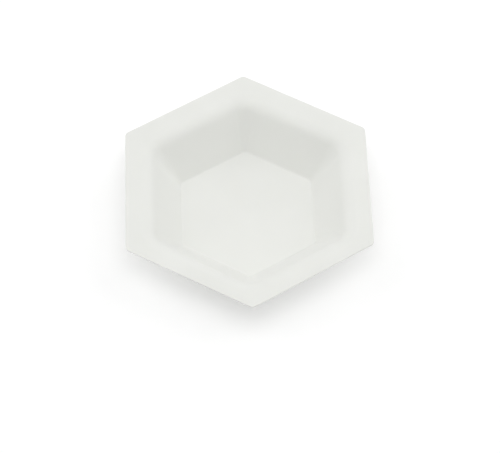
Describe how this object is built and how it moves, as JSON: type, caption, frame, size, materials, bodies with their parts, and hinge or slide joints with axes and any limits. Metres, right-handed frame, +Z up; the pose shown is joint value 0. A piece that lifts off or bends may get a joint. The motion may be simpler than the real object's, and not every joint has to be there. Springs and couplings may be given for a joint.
{
  "type": "weighing boat",
  "caption": "Small hexagonal weighing boat: a flat floor, leaning walls and a wide flat flange, formed in one piece from thin white antistatic plastic.",
  "frame": {"origin": "middle of the rim's outline, at the level of the floor's underside, which stands on the bench; the well's centre lies 0.7 mm from it towards -Y", "axes": "+Z up out of the well; +Y towards one rim corner, with the opposite corner on -Y; X across two opposite flats"},
  "size_m": [0.051, 0.0586, 0.0088],
  "materials": {
    "polystyrene": "smooth satin-matte off-white sheet, faintly translucent at its cut edge"
  },
  "bodies": {
    "root": {"boat": "polystyrene"}
  },
  "joints": []
}
